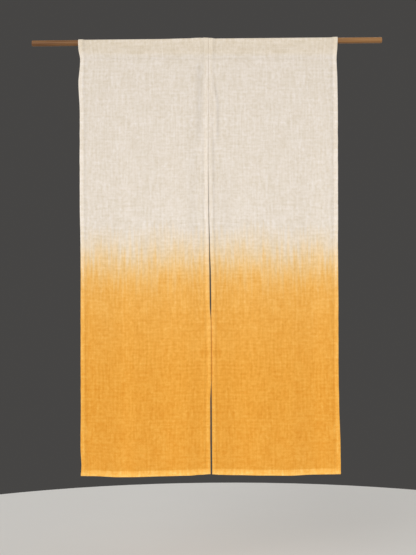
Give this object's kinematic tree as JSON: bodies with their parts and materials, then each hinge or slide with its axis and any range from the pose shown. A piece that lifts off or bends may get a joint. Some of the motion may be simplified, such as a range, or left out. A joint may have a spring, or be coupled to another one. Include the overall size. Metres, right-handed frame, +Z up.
{
  "type": "noren curtain on a rod",
  "caption": "Split doorway curtain of dip-dyed hemp cloth, cream shading to orange-yellow, sewn over a plain round wooden rod and hanging nearly flat.",
  "frame": {"origin": "the middle of the rod's axis, where whatever holds the rod's two ends carries the curtain", "axes": "+X along the rod, to the right as seen from the front; the front of the cloth faces -Y; +Z up, the cloth hanging towards -Z"},
  "size_m": [1.2, 0.024, 1.5061],
  "materials": {
    "hemp_cloth": "plain-woven slubby hemp cloth, natural cream in the upper part, dip-dyed orange-yellow below with a soft streaky edge, matt",
    "rod_wood": "plain tan wood, straight fine grain along the rod, low satin"
  },
  "bodies": {
    "root": {"panel_left": "hemp_cloth", "panel_right": "hemp_cloth", "rod": "rod_wood"}
  },
  "joints": []
}
